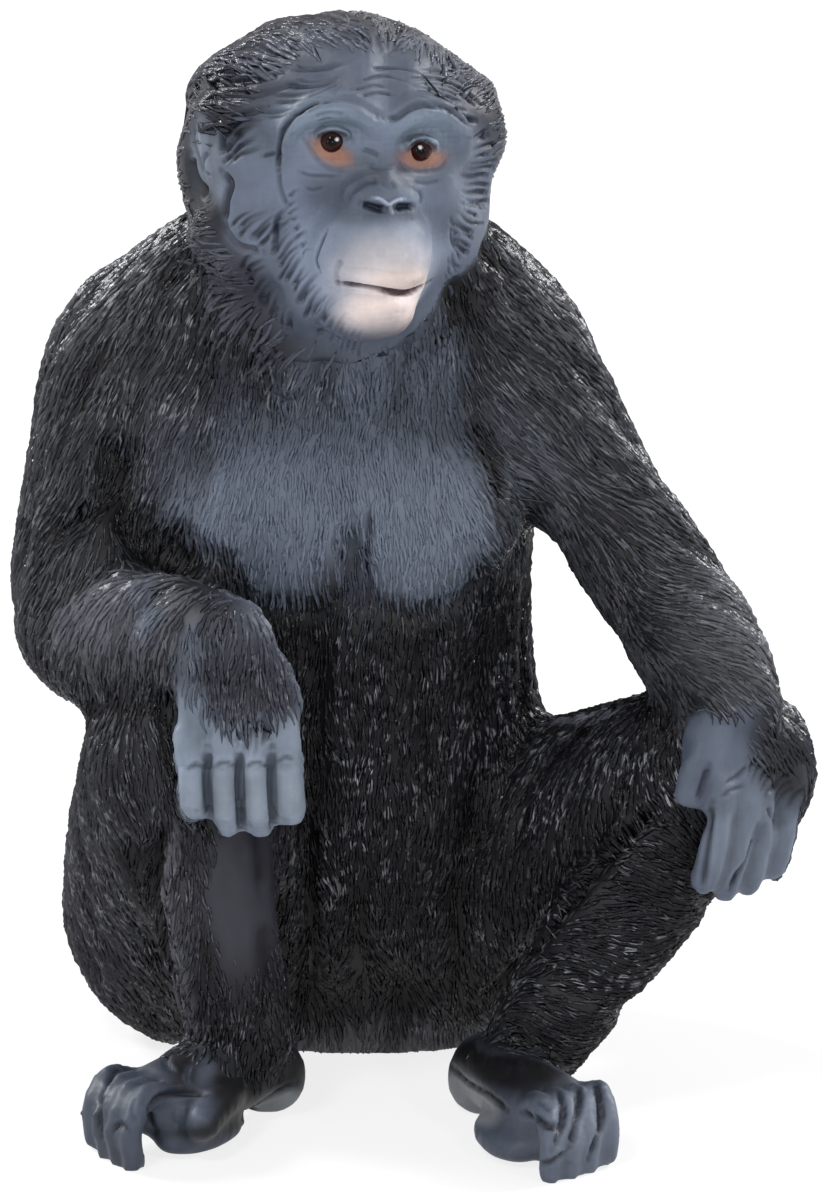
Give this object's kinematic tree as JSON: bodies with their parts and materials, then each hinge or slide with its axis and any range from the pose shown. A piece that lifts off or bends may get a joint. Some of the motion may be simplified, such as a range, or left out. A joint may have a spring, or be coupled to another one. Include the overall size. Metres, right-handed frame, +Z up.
{
  "type": "animal figurine",
  "caption": "Seated bonobo figurine cast in one piece, one forearm across a knee, the other hand draped over the opposite knee, resting on its rump and curled toes.",
  "frame": {"origin": "on the ground, under the middle of the figure's bounding box", "axes": "+Z up, the figure's chest faces -Y, its left side is towards +X"},
  "size_m": [0.0472, 0.0414, 0.0652],
  "materials": {
    "figure_black": "satin black cast plastic, painted slate on the face, hands, feet and chest"
  },
  "bodies": {
    "root": {"bonobo": "figure_black"}
  },
  "joints": []
}
